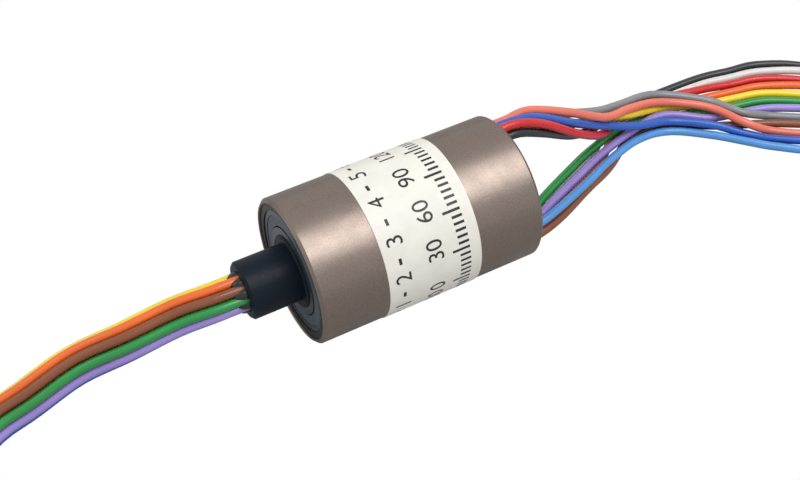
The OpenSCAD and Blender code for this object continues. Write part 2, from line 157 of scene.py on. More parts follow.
def cut_to(points: Sequence[Vector], length: float) -> list[Vector]:
    """Cuts a line to a length.

    Args:
        points: The line's points.
        length: The length to keep, from the first point.

    Returns:
        The points of the line that is left.
    """
    kept, run = [points[0]], 0.0
    for a, b in zip(points, points[1:]):
        step = (b - a).length
        if run + step >= length:
            kept.append(a + (b - a) * ((length - run) / step))
            return kept
        run += step
        kept.append(b)
    return kept


def even(points: Sequence[Vector], step: float) -> list[Vector]:
    """Spaces a line's points evenly.

    Args:
        points: The line's points.
        step: About how far apart the new points lie.

    Returns:
        The new points, from the line's first to its last.
    """
    total = arc_length(points)
    count = max(round(total / step), 1)
    new, run, i = [points[0]], 0.0, 0
    for k in range(1, count):
        target = total * k / count
        while run + (points[i + 1] - points[i]).length < target:
            run += (points[i + 1] - points[i]).length
            i += 1
        way = points[i + 1] - points[i]
        new.append(points[i] + way * ((target - run) / way.length))
    return new + [points[-1]]


# ---------------------------------------------------------------------------------------------
# Finishes
# ---------------------------------------------------------------------------------------------


class Coat:
    """A Principled material, put together node by node on Object coordinates."""

    def __init__(self, name: str) -> None:
        """Starts the material.

        Args:
            name: The material's name.
        """
        self.material = bpy.data.materials.new(name)
        self.material.use_nodes = True
        self.tree = self.material.node_tree
        self.shader = self.tree.nodes["Principled BSDF"]

    def set(self, **values: float | tuple[float, ...]) -> "Coat":
        """Sets the shader's own sockets, such as Roughness=0.4.

        Args:
            values: A value for each socket, with an underscore for each space in its name.

        Returns:
            The coat itself.
        """
        for name, value in values.items():
            self.shader.inputs[name.replace("_", " ")].default_value = value
        return self

    def noise(
        self, scale: float, detail: float = 3.0, stretch: tuple[float, float, float] = (1, 1, 1)
    ) -> bpy.types.NodeSocket:
        """A noise pattern that is fixed to the piece.

        Args:
            scale: How many bumps lie in a metre.
            detail: How many finer patterns are added.
            stretch: How much the pattern is squeezed along each axis.

        Returns:
            The pattern's socket, from 0 to 1.
        """
        place = self.tree.nodes.new("ShaderNodeTexCoord")
        mapping = self.tree.nodes.new("ShaderNodeMapping")
        mapping.inputs["Scale"].default_value = stretch
        pattern = self.tree.nodes.new("ShaderNodeTexNoise")
        pattern.inputs["Scale"].default_value = scale
        pattern.inputs["Detail"].default_value = detail
        self.tree.links.new(place.outputs["Object"], mapping.inputs["Vector"])
        self.tree.links.new(mapping.outputs["Vector"], pattern.inputs["Vector"])
        return pattern.outputs["Fac"]

    def spread(
        self, pattern: bpy.types.NodeSocket, low: float, high: float
    ) -> bpy.types.NodeSocket:
        """Maps the middle of a pattern to a range of values.

        Args:
            pattern: The pattern to map.
            low: The value for the pattern's low places.
            high: The value for its high places.

        Returns:
            The mapped socket.
        """
        ranged = self.tree.nodes.new("ShaderNodeMapRange")
        ranged.inputs["From Min"].default_value = 0.3
        ranged.inputs["From Max"].default_value = 0.7
        ranged.inputs["To Min"].default_value = low
        ranged.inputs["To Max"].default_value = high
        self.tree.links.new(pattern, ranged.inputs["Value"])
        return ranged.outputs["Result"]

    def rough(self, pattern: bpy.types.NodeSocket, low: float, high: float) -> "Coat":
        """Lets the roughness follow a pattern.

        Args:
            pattern: The pattern to follow.
            low: The roughness of its low places.
            high: The roughness of its high places.

        Returns:
            The coat itself.
        """
        self.tree.links.new(self.spread(pattern, low, high), self.shader.inputs["Roughness"])
        return self

    def tint(
        self, pattern: bpy.types.NodeSocket, first: Sequence[float], second: Sequence[float]
    ) -> "Coat":
        """Lets the colour follow a pattern.

        Args:
            pattern: The pattern to follow.
            first: The colour of its low places.
            second: The colour of its high places.

        Returns:
            The coat itself.
        """
        ramp = self.tree.nodes.new("ShaderNodeValToRGB")
        ramp.color_ramp.elements[0].position = 0.35
        ramp.color_ramp.elements[0].color = (*first, 1)
        ramp.color_ramp.elements[1].position = 0.65
        ramp.color_ramp.elements[1].color = (*second, 1)
        self.tree.links.new(pattern, ramp.inputs["Fac"])
        self.tree.links.new(ramp.outputs["Color"], self.shader.inputs["Base Color"])
        return self

    def bump(self, pattern: bpy.types.NodeSocket, height: float, strength: float) -> "Coat":
        """Raises the surface after a pattern.

        Args:
            pattern: The pattern to follow.
            height: The height of its bumps, in metres.
            strength: How much of the bumps shows, from 0 to 1.

        Returns:
            The coat itself.
        """
        bump = self.tree.nodes.new("ShaderNodeBump")
        bump.inputs["Distance"].default_value = height
        bump.inputs["Strength"].default_value = strength
        self.tree.links.new(pattern, bump.inputs["Height"])
        self.tree.links.new(bump.outputs["Normal"], self.shader.inputs["Normal"])
        return self


def shade(colour: Sequence[float], by: float) -> tuple[float, float, float]:
    """Makes a colour lighter or darker.

    Args:
        colour: The colour to change.
        by: The factor for each channel.

    Returns:
        The new colour, with no channel over 1.
    """
    return tuple(min(channel * by, 1.0) for channel in colour)


@dataclass(frozen=True)
class Blasted:
    """Bead-blasted and anodised metal: a fine even grain with a soft sheen."""

    name: str
    colour: tuple[float, float, float]
    roughness: float = 0.36
    grain: float = 9000.0

    def build(self) -> bpy.types.Material:
        """Makes the material.

        Returns:
            The finished material.
        """
        coat = Coat(self.name).set(Metallic=1.0, Specular_IOR_Level=0.5)
        fine = coat.noise(self.grain, 2.0)
        coat.tint(fine, shade(self.colour, 0.9), shade(self.colour, 1.1))
        coat.rough(coat.noise(700.0), self.roughness - 0.04, self.roughness + 0.05)
        return coat.bump(fine, 0.012 * MM, 0.35).material


@dataclass(frozen=True)
class Moulded:
    """Plastic or resin with a slightly uneven surface."""

    name: str
    colour: tuple[float, float, float]
    roughness: float = 0.45
    coat: float = 0.0
    grain: float = 3000.0
    depth: float = 0.01
    shine: float = 0.5

    def build(self) -> bpy.types.Material:
        """Makes the material.

        Returns:
            The finished material.
        """
        coat = Coat(self.name).set(Coat_Weight=self.coat, Coat_Roughness=0.12)
        coat.set(Specular_IOR_Level=self.shine)
        uneven = coat.noise(self.grain)
        coat.tint(coat.noise(900.0), shade(self.colour, 0.97), shade(self.colour, 1.03))
        coat.rough(uneven, self.roughness - 0.06, self.roughness + 0.06)
        return coat.bump(uneven, self.depth * MM, 0.3).material


@dataclass(frozen=True)
class Metal:
    """Ground, stamped or plated metal; stretch squeezes its grain along an axis."""

    name: str
    colour: tuple[float, float, float]
    roughness: float = 0.25
    stretch: tuple[float, float, float] = (1.0, 1.0, 1.0)

    def build(self) -> bpy.types.Material:
        """Makes the material.

        Returns:
            The finished material.
        """
        coat = Coat(self.name).set(Metallic=1.0)
        grain = coat.noise(4000.0, 4.0, self.stretch)
        coat.tint(grain, shade(self.colour, 0.93), shade(self.colour, 1.05))
        coat.rough(grain, self.roughness - 0.05, self.roughness + 0.06)
        return coat.bump(grain, 0.004 * MM, 0.25).material


@dataclass(frozen=True)
class Insulation:
    """Extruded lead insulation: saturated, smooth and glossy."""

    name: str
    colour: tuple[float, float, float]
    roughness: float = 0.26

    def build(self) -> bpy.types.Material:
        """Makes the material.

        Returns:
            The finished material.
        """
        coat = Coat(self.name).set(Coat_Weight=0.35, Coat_Roughness=0.12)
        coat.tint(coat.noise(220.0), shade(self.colour, 0.92), shade(self.colour, 1.06))
        coat.rough(coat.noise(1500.0), self.roughness - 0.05, self.roughness + 0.07)
        return coat.bump(coat.noise(900.0), 0.02 * MM, 0.2).material


class Circuit(Enum):
    """The twelve circuits in order, each with its lead's colour."""

    BLACK = (0.018, 0.018, 0.022)
    BROWN = (0.25, 0.07, 0.025)
    RED = (0.68, 0.012, 0.012)
    ORANGE = (0.86, 0.15, 0.02)
    YELLOW = (0.95, 0.72, 0.02)
    GREEN = (0.015, 0.30, 0.06)
    BLUE = (0.015, 0.11, 0.55)
    VIOLET = (0.36, 0.27, 0.70)
    GREY = (0.25, 0.26, 0.28)
    WHITE = (0.80, 0.78, 0.75)
    PINK = (0.86, 0.19, 0.12)
    LIGHT_BLUE = (0.09, 0.33, 0.76)

    @property
    def number(self) -> int:
        """The circuit's number, from 1."""
        return list(Circuit).index(self) + 1

    @property
    def slot(self) -> str:
        """The material slot of the circuit's leads."""
        return f"lead_{self.name.lower()}"


FINISHES = {
    "anodised_shell": Blasted("anodised_shell", (0.30, 0.243, 0.21)),
    "label_film": Moulded("label_film", (0.88, 0.86, 0.78), 0.5, depth=0.004),
    "black_moulding": Moulded("black_moulding", (0.03, 0.03, 0.034), 0.5),
    "black_carrier": Moulded("black_carrier", (0.012, 0.012, 0.014), 0.38),
    "race_steel": Metal("race_steel", (0.20, 0.225, 0.25), 0.4),
    "ball_steel": Metal("ball_steel", (0.78, 0.79, 0.80), 0.08),
    "cage_brass": Metal("cage_brass", (0.72, 0.52, 0.22), 0.3),
    "shield_steel": Moulded("shield_steel", (0.10, 0.125, 0.15), 0.5),
    "shaft_plastic": Moulded("shaft_plastic", (0.003, 0.009, 0.018), 0.42, shine=0.22),
    "barrier_plastic": Moulded("barrier_plastic", (0.05, 0.045, 0.04), 0.5),
    "board_laminate": Moulded("board_laminate", (0.015, 0.13, 0.05), 0.35, 0.3),
    "gold_alloy": Metal("gold_alloy", (0.86, 0.60, 0.22), 0.2),
    "potting": Moulded("potting", (0.012, 0.012, 0.014), 0.25, 0.3, 1500.0, 0.03),
    "tie": Moulded("tie", (0.02, 0.02, 0.023), 0.5),
    **{circuit.slot: Insulation(circuit.slot, circuit.value) for circuit in Circuit},
}


class Paint:
    """Builds each slot's finish once, apart from the plain materials that the frame brings."""

    built: dict[str, bpy.types.Material] = {}

    @classmethod
    def of(cls, slot: str) -> bpy.types.Material:
        """The finish of a material slot.

        Args:
            slot: The record's name of the slot.

        Returns:
            The slot's material.
        """
        if slot not in cls.built:
            cls.built[slot] = FINISHES[slot].build()
            cls.built[slot].name = f"{slot}_finish"
        return cls.built[slot]


# ---------------------------------------------------------------------------------------------
# Leads
# ---------------------------------------------------------------------------------------------


@dataclass
class Hank:
    """Twelve leads wound together four times round, two turns wide and two high.

    Seen from above the bundle goes along the near side, round the far fold, back along the other
    side and round the near fold. After the strap, and round the near fold, it changes places with
    the other turns, which roll over each other together.

    Attributes:
        fold_x: The middle of the near fold.
        way: 1 where the runs point along +X, and -1 where they point along -X.
        run: How far the far fold lies from the near one.
        y: The middle of both folds across.
        fold_r: The inner turns' radius in a fold.
        lane: How far apart two turns lie.
        low: The height of the lower turns' middles.
        clamped: How far a turn keeps its place past the middle of the run, under the strap.
        steps: How many points a run, or half a fold's turn, gets.
    """

    fold_x: float
    way: int
    run: float
    y: float = 1.1
    fold_r: float = 3.75
    lane: float = 3.2
    low: float = -4.185
    clamped: float = 1.7
    steps: int = 14

    def corner(self, quarter: float) -> tuple[float, float]:
        """Where a turn lies in the square of four, after so many quarter turns.

        Args:
            quarter: How many quarter turns the square has made.

        Returns:
            How far outwards and how far up the turn's middle is from the square's own.
        """
        angle = math.radians(-45 - 90 * quarter)
        half_diagonal = self.lane / math.sqrt(2)
        rise = half_diagonal * math.sin(math.radians(45 + 90 * (quarter % 1))) - self.lane / 2
        return half_diagonal * math.cos(angle), half_diagonal * math.sin(angle) + rise

    def middle_line(self, turns: int = 4) -> list[Vector]:
        """The bundle's middle line, from where it reaches the near fold.

        Args:
            turns: How many times it goes round.

        Returns:
            The line's points.
        """
        square_r = self.fold_r + self.lane / 2
        level = self.low + self.lane / 2
        points = []
        for turn in range(turns):
            out, up = self.corner(turn)
            near, far = self.fold_x, self.fold_x + self.way * self.run
            for k in range(self.steps):
                x = near + (far - near) * k / self.steps
                points.append(Vector((x, self.y - square_r - out, level + up)))
            points += self.fold(far, square_r + out, level + up)
            held = (near + far) / 2 - self.way * self.clamped
            for k in range(self.steps):
                x = far + (held - far) * k / self.steps
                points.append(Vector((x, self.y + square_r + out, level + up)))
            straight, total = abs(held - near), abs(held - near) + math.pi * square_r
            for k in range(2 * self.steps):
                share = k / (2 * self.steps)
                out, up = self.corner(turn + share * share * (3 - 2 * share))
                run = share * total
                x = held - self.way * min(run, straight)
                angle = math.radians(90) + max(run - straight, 0) / square_r
                points.append(
                    Vector(
                        (
                            x + self.way * (square_r + out) * math.cos(angle),
                            self.y + (square_r + out) * math.sin(angle),
                            level + up,
                        )
                    )
                )
        return points

    def fold(self, x: float, radius: float, z: float) -> list[Vector]:
        """Half a turn round the middle of the far fold.

        Args:
            x: The fold's middle.
            radius: How far the bundle's middle is from it.
            z: The bundle's height.

        Returns:
            The fold's points, without its last.
        """
        return [
            Vector(
                (
                    x + self.way * radius * math.cos(math.radians(180 * k / self.steps - 90)),
                    self.y + radius * math.sin(math.radians(180 * k / self.steps - 90)),
                    z,
                )
            )
            for k in range(self.steps)
        ]


@dataclass
class Bundle:
    """The twelve places of a bundle: three leads in the middle and nine round them.

    Attributes:
        inner: How far the three leads lie from the bundle's middle.
        outer: How far the nine leads lie from it.
    """

    inner: float = 0.46
    outer: float = 1.2

    def place(self, k: int, turn: float) -> tuple[float, float]:
        """Where a lead lies in the bundle.

        Args:
            k: The place's number, from 0 to 11.
            turn: How far the bundle has turned, in degrees.

        Returns:
            How far aside and how far up the lead is from the bundle's middle.
        """
        angle = math.radians((120 * k if k < 3 else 40 * k - 100) + turn)
        radius = self.inner if k < 3 else self.outer
        return radius * math.cos(angle), radius * math.sin(angle)

    def lead(
        self, middle: Sequence[Vector], k: int, turn_at: Callable[[int, float], float]
    ) -> list[Vector]:
        """A lead's line in a bundle.

        Args:
            middle: The bundle's middle line.
            k: The lead's place.
            turn_at: Gives the bundle's turn from a point's number and its way along the line.

        Returns:
            The lead's points.
        """
        points, run = [], 0.0
        for i, point in enumerate(middle):
            ahead = middle[min(i + 1, len(middle) - 1)] - middle[max(i - 1, 0)]
            ahead.normalize()
            side = Vector((0, 0, 1)).cross(ahead).normalized()
            over = ahead.cross(side)
            if i:
                run += (point - middle[i - 1]).length
            aside, up = self.place(k, turn_at(i, run))
            points.append(point + side * aside + over * up)
        return points


@dataclass
class Leads:
    """Twelve leads of one end of the slip ring, each a tube with its own cord.

    Attributes:
        diameter: A lead's diameter over its insulation.
        length: A lead's length, wound part and all.
        step: How far apart the rings of a tube lie.
        bevel: How finely a tube's section is divided.
        smooth: The angle up to which a tube's faces are shaded as one.
        per_span: How many points the curve gets between two points of a route.
        roll: How many degrees a bundle turns in each millimetre of its hank.
        bundle: The places in the bundle.
    """

    diameter: float = 0.75
    length: float = 250.0
    step: float = 0.8
    bevel: int = 4
    smooth: float = 50.0
    per_span: int = 8
    roll: float = 8.0
    bundle: Bundle = field(default_factory=Bundle)

    def tube(self, name: str, points: Sequence[Vector]) -> bpy.types.Object:
        """Makes a lead's tube.

        Args:
            name: The piece's name.
            points: The lead's middle line, in millimetres.

        Returns:
            The tube's mesh.
        """
        curve = bpy.data.curves.new(name, "CURVE")
        curve.dimensions = "3D"
        curve.bevel_depth = self.diameter / 2 * MM
        curve.bevel_resolution = self.bevel
        curve.use_fill_caps = True
        spline = curve.splines.new("POLY")
        spline.points.add(len(points) - 1)
        for point, place in zip(spline.points, points):
            point.co = (*(place * MM), 1)
        obj = bpy.data.objects.new(name, curve)
        bpy.context.collection.objects.link(obj)
        select_only(obj)
        bpy.ops.object.convert(target="MESH")
        obj = added(name)
        bpy.ops.object.shade_smooth_by_angle(angle=math.radians(self.smooth))
        return obj

    def dress(
        self, obj: bpy.types.Object, circuit: Circuit, points: Sequence[Vector], extra: list
    ) -> None:
        """Args:
            obj: The lead's tube.
            circuit: The lead's circuit.
            points: The tube's middle line, in millimetres. Not used.
            extra: The separate pieces on the lead. Not used.
        """
        obj.data.materials.clear()
        obj.data.materials.append(Paint.of(circuit.slot))


@dataclass
class ShaftLeads(Leads):
    """The leads that come out of the shaft's bore as one twisted bundle.

    Attributes:
        start_x: Where the leads begin, inside the potting.
        twist: How many degrees the bundle turns along its open run.
        places: Each circuit's place in the bundle.
        swivel: Two places along the bundle, between which it would take up the shaft's turn. Not
            used.
        hank: The hank that the bundle ends in.
        ease: A point on the way from the open run to the hank.
        route: The points of the open run's middle.
    """

    start_x: float = -13.4
    twist: float = 25.0
    places: tuple[int, ...] = (8, 4, 7, 5, 6, 3, 10, 11, 2, 1, 0, 9)
    swivel: tuple[float, float] = (-14.4, -27.0)
    hank: Hank = field(default_factory=lambda: Hank(-49.5, -1, 13.5))
    ease: tuple[float, float] = (-45.5, -5.6)
    route: tuple[tuple[float, float, float], ...] = (
        (-14.35, 0, 0), (-16, 0, 0), (-19, 0.5, -0.5), (-23, 0.5, -1), (-27, 1, -2),
        (-31, 0.5, -3), (-34, 0, -3.5), (-37, -1.5, -4), (-39.5, -3.5, -4), (-41.5, -4.5, -4),
    )

    def build(self) -> list[bpy.types.Object]:
        """Makes the twelve leads and the strap of their hank.

        Returns:
            The leads and the strap.
        """
        strap = Strap(self.hank).build("shaft_hank_strap")
        open_run = [Vector(p) for p in self.route]
        spans = (len(open_run) - 1) * self.per_span
        line = [catmull_rom(open_run, i / self.per_span) for i in range(spans + 1)]
        wound = self.hank.middle_line()
        joint = [open_run[-2], line[-1], Vector((*self.ease, self.hank.low)), wound[0], wound[1]]
        bridge = [
            catmull_rom(joint, 1 + i / self.per_span) for i in range(1, 2 * self.per_span)
        ]
        middle = line + bridge + wound

        def turn_at(i: int, run: float) -> float:
            """Gives the bundle's turn: its twist first, then the hank's slow roll.

            Args:
                i: The point's number.
                run: How far along the bundle it lies.

            Returns:
                The turn in degrees.
            """
            if i <= spans:
                return self.twist * i / spans
            return self.twist + self.roll * (run - reach)

        reach = arc_length(line)
        pieces = [strap]
        for circuit in Circuit:
            k = circuit.number - 1
            points = self.bundle.lead(middle, self.places[k], turn_at)
            points.insert(0, Vector((self.start_x, points[0].y, points[0].z)))
            points = even(cut_to(points, self.length), self.step)
            lead = self.tube(f"shaft_lead_{circuit.number:02d}_{circuit.name.lower()}", points)
            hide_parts(f"rotor_lead_{circuit.number:02d}", "rotor_hank")
            self.dress(lead, circuit, points, [strap] if k == 0 else [])
            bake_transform(lead)
            pieces.append(lead)
            log.info("%s: %.1f mm in %d points", lead.name, arc_length(points), len(points))
        return pieces


Lay = tuple[tuple[int, int, int], int, tuple[tuple[float, float], ...]]


@dataclass
class HousingLeads(Leads):
    """The leads that come out of the rear cap's two outlets, spread out and gather again.

    Attributes:
        face_x: The cap's face.
        inside: How far inside the cap the leads begin.
        straight: How far a lead runs straight out of its outlet.
        outlet_angle: The first outlet's angle round the axis, from +Y towards +Z.
        outlet_r: The lower leads' distance from the axis in an outlet.
        outlet_pitch: How far apart the leads lie in an outlet.
        group_pitch: How far apart they lie while they are one group.
        floor_z: The surface that they lie on.
        clear: How far above it the lowest leads lie.
        gather_x: Where they are one bundle again.
        hank: The hank that the bundle ends in.
        groups: For each outlet, stations of a middle, a heading and a turn.
        piles: Stations on the surface, of a middle and a heading.
        lays: For each circuit its place in its outlet (outlet, row, column), its place in the
            bundle, and how far back and up it lies at each station on the surface.
    """

    face_x: float = 9.45
    inside: float = 1.0
    straight: float = 2.0
    outlet_angle: float = 62.0
    outlet_r: float = 4.1
    outlet_pitch: float = 0.81
    group_pitch: float = 1.0
    floor_z: float = -6.06
    clear: float = 0.08
    gather_x: float = 56.2
    hank: Hank = field(default_factory=lambda: Hank(63.0, 1, 11.5))
    groups: tuple = (
        (((14, 2.5, 3), 8, 0), ((18, 3, 0.5), 10, 45), ((22, 4, -2), 12, 90)),
        (((14, -1, -4), 18, -14), ((18, 1, -4.5), 26, 0), ((21.5, 2.7, -5.1), 26, 0)),
    )
    piles: tuple = (
        ((25.5, 4.5), 12), ((29.5, 5.2), -4), ((34, 4), -26), ((36.7, 2.8), -28),
        ((39.3, 1.6), -30), ((43, -0.8), -33), ((47.5, -3.9), -26), ((52, -5), -12),
    )
    lays: tuple[Lay, ...] = (
        ((0, 0, 1), 11, (
            (2.4, 0.9), (2.4, 0), (3.9, 0), (4.7, 0),
            (5.5, 0), (5.5, 0), (2.8, 0), (2.1, 0.2),
        )),
        ((1, 1, -1), 1, (
            (-0.6, 0), (-1.2, 0), (-2.4, 0), (-2.5, 0),
            (-2.5, 0), (-2.5, 0.3), (-1.4, 0.9), (-0.9, 1.6),
        )),
        ((0, 1, 1), 10, (
            (1.1, 1.6), (1.1, 0.8), (2.1, 0.3), (2.9, 0),
            (3.5, 0), (3.5, 0), (1.9, 0), (1.3, 0),
        )),
        ((1, 1, 0), 4, (
            (0.8, 0), (0.6, 0), (1.2, 0), (1.9, 0),
            (2.5, 0), (2.5, 0.3), (1.4, 0.9), (1.2, 1.9),
        )),
        ((0, 0, 0), 0, (
            (0.1, 2.4), (0.1, 0.8), (0.3, 0.1), (1, 0),
            (1.5, 0), (1.5, 0), (0.9, 0.1), (0.7, 0.9),
        )),
        ((1, 0, 1), 9, (
            (0.3, 0.9), (-0.3, 0), (-0.6, 0), (0, 0),
            (0.5, 0), (0.5, 0), (0, 0), (0.2, 0),
        )),
        ((0, 1, 0), 6, (
            (-1, 1.9), (-1.7, 0.8), (-3, 0.7), (-3.6, 0),
            (-4.5, 0), (-4.5, 0.3), (-2.3, 0.9), (-1.8, 1.5),
        )),
        ((1, 0, 0), 5, (
            (-0.6, 0.9), (-0.8, 0.8), (-1.5, 0.1), (-1, 0),
            (-0.5, 0), (-0.5, 0.3), (-0.4, 0.9), (0.1, 2.2),
        )),
        ((0, 0, -1), 2, (
            (1.1, 3), (1.1, 1.7), (-0.1, 1), (-1.7, 0.8),
            (-1.5, 0), (-1.5, 0), (-0.9, 0), (-0.6, 0.8),
        )),
        ((1, 1, 1), 3, (
            (1.7, 0), (1.5, 0), (3, 0), (3.8, 0),
            (4.5, 0), (4.5, 0.3), (2.4, 0.9), (2, 1.1),
        )),
        ((0, 1, -1), 8, (
            (0, 3.3), (0, 1.7), (-1, 1), (-3.1, 0.9),
            (-3.5, 0), (-3.5, 0), (-1.9, 0), (-1.3, 0.1),
        )),
        ((1, 0, -1), 7, (
            (-1.5, 0.6), (-2.2, 0), (-3.6, 0), (-4.6, 0),
            (-5.5, 0), (-5.5, 0), (-2.8, 0), (-2.2, 0.5),
        )),
    )

    def outlet_point(self, place: tuple[int, int, int], x: float) -> Vector:
        """Finds a lead's middle in its outlet.

        Args:
            place: The lead's outlet, row and column.
            x: How far along the axis the point lies.

        Returns:
            The point.
        """
        angle = math.radians(self.outlet_angle + 180 * place[0])
        out = self.outlet_r + place[1] * self.outlet_pitch
        across = place[2] * self.outlet_pitch
        return Vector(
            (
                x,
                out * math.cos(angle) - across * math.sin(angle),
                out * math.sin(angle) + across * math.cos(angle),
            )
        )

    @staticmethod
    def beside(middle: Sequence[float], heading: float, back: float, up: float) -> Vector:
        """Finds a lead's point at a station.

        Args:
            middle: The station's middle.
            heading: Which way the leads run there, in degrees from +X towards +Y.
            back: How far to the left of that way the point lies.
            up: How far above the middle it lies.

        Returns:
            The point.
        """
        angle = math.radians(heading)
        return Vector(middle) + Vector((-back * math.sin(angle), back * math.cos(angle), up))

    def route(self, lay: Lay) -> list[Vector]:
        """The points that a lead goes through, from its outlet to the bundle.

        Args:
            lay: The lead's outlet place, bundle place and places along the way.

        Returns:
            The route's points.
        """
        place, slot, piles = lay
        points = [self.outlet_point(place, self.face_x)]
        points.append(self.outlet_point(place, self.face_x + self.straight))
        out = 1 if place[0] == 0 else -1
        back, up = -out * place[2] * self.group_pitch, out * (place[1] - 0.5) * self.group_pitch
        for middle, heading, turn in self.groups[place[0]]:
            c, s = math.cos(math.radians(turn)), math.sin(math.radians(turn))
            points.append(self.beside(middle, heading, back * c - up * s, back * s + up * c))
        level = self.floor_z + self.diameter / 2 + self.clear
        for (middle, heading), (back, up) in zip(self.piles, piles):
            points.append(self.beside((*middle, level), heading, back, up))
        aside, up = self.bundle.place(slot, 0)
        lane_y = self.hank.y - self.hank.fold_r - self.hank.lane
        points.append(Vector((self.gather_x, lane_y + aside, self.hank.low + up)))
        return points

    def build(self) -> list[bpy.types.Object]:
        """Makes the twelve leads and the strap of their hank.

        Returns:
            The leads and the strap.
        """
        strap = Strap(self.hank).build("housing_hank_strap")
        wound = self.hank.middle_line()
        lane_y = self.hank.y - self.hank.fold_r - self.hank.lane
        entry = [
            Vector((self.gather_x + k * self.step, lane_y, self.hank.low))
            for k in range(1, int((self.hank.fold_x - self.gather_x) / self.step))
        ]
        middle = [Vector((self.gather_x, lane_y, self.hank.low))] + entry + wound
        pieces = [strap]
        for circuit, lay in zip(Circuit, self.lays):
            via = self.route(lay)
            spans = (len(via) - 1) * self.per_span
            points = [catmull_rom(via, i / self.per_span) for i in range(spans)]
            points += self.bundle.lead(middle, lay[1], lambda _, run: self.roll * run)
            points.insert(0, points[0] - Vector((self.inside, 0, 0)))
            points = even(cut_to(points, self.length), self.step)
            lead = self.tube(f"housing_lead_{circuit.number:02d}_{circuit.name.lower()}", points)
            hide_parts(f"stator_lead_{circuit.number:02d}", "stator_hank")
            self.dress(lead, circuit, points, [strap] if circuit is Circuit.BLACK else [])
            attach(lead, "stator")
            pieces.append(lead)
            log.info("%s: %.1f mm in %d points", lead.name, arc_length(points), len(points))
        return pieces


@dataclass
class Strap:
    """A flat strap that holds a hank in the middle of its runs.

    Attributes:
        hank: The hank.
        width: The strap's width.
        thickness: Its thickness.
        bundle_r: The radius of a turn of the hank.
        sides: How many corners the strap gets round a turn.
        edge: The width of its rounded edges.
        smooth: The angle up to which its faces are shaded as one.
    """

    hank: Hank
    width: float = 2.4
    thickness: float = 0.25
    bundle_r: float = 1.6
    sides: int = 24
    edge: float = 0.06
    smooth: float = 40.0

    def outline(self) -> list[tuple[float, float]]:
        """The taut line round the hank's eight strands, as y and z.

        Returns:
            The line's corners, counterclockwise.
        """
        hank = self.hank
        square_r, level = hank.fold_r + hank.lane / 2, hank.low + hank.lane / 2
        radius = self.bundle_r + self.thickness / 2
        points = []
        for quarter in range(4):
            out, up = hank.corner(quarter)
            for side in (-1, 1):
                y, z = hank.y + side * (square_r + out), level + up
                for k in range(self.sides):
                    angle = 2 * math.pi * k / self.sides
                    points.append(
                        (y + radius * math.cos(angle), z + radius * math.sin(angle))
                    )
        return self.taut(sorted(points))

    @staticmethod
    def taut(points: Sequence[tuple[float, float]]) -> list[tuple[float, float]]:
        """Finds the line that a cord pulled tight round points would take.

        Args:
            points: The points, sorted.

        Returns:
            The line's corners.
        """

        def half(ordered: Sequence[tuple[float, float]]) -> list[tuple[float, float]]:
            """Finds one side of the line.

            Args:
                ordered: The points, in the order in which the side passes them.

            Returns:
                The side's corners, without its last.
            """
            line: list[tuple[float, float]] = []
            for p in ordered:
                while len(line) > 1 and (
                    (line[-1][0] - line[-2][0]) * (p[1] - line[-2][1])
                    - (line[-1][1] - line[-2][1]) * (p[0] - line[-2][0])
                    <= 0
                ):
                    line.pop()
                line.append(p)
            return line[:-1]

        return half(points) + half(points[::-1])

    def build(self, name: str) -> bpy.types.Object:
        """Makes the strap.

        Args:
            name: The piece's name.

        Returns:
            The strap's mesh.
        """
        x = self.hank.fold_x + self.hank.way * self.hank.run / 2
        line = self.outline()
        start = (x - self.width / 2) * MM
        mesh = bpy.data.meshes.new(name)
        verts = [(start, y * MM, z * MM) for y, z in line]
        edges = [(i, (i + 1) % len(line)) for i in range(len(line))]
        mesh.from_pydata(verts, edges, [])
        obj = bpy.data.objects.new(name, mesh)
        bpy.context.collection.objects.link(obj)
        select_only(obj)
        bpy.ops.object.mode_set(mode="EDIT")
        bpy.ops.mesh.select_all(action="SELECT")
        bpy.ops.mesh.extrude_region_move(
            TRANSFORM_OT_translate={"value": (self.width * MM, 0, 0)}
        )
        bpy.ops.mesh.select_all(action="SELECT")
        bpy.ops.mesh.normals_make_consistent(inside=False)
        bpy.ops.object.mode_set(mode="OBJECT")
        wall = obj.modifiers.new("wall", "SOLIDIFY")
        wall.thickness = self.thickness * MM
        wall.offset = 0
        edge = obj.modifiers.new("edge", "BEVEL")
        edge.width = self.edge * MM
        edge.segments = 2
        for modifier in ("wall", "edge"):
            bpy.ops.object.modifier_apply(modifier=modifier)
        bpy.ops.object.shade_smooth_by_angle(angle=math.radians(self.smooth))
        obj.data.materials.append(Paint.of("tie"))
        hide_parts("hank_ties")
        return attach(obj, "stator")


# ---------------------------------------------------------------------------------------------
# Potting
# ---------------------------------------------------------------------------------------------


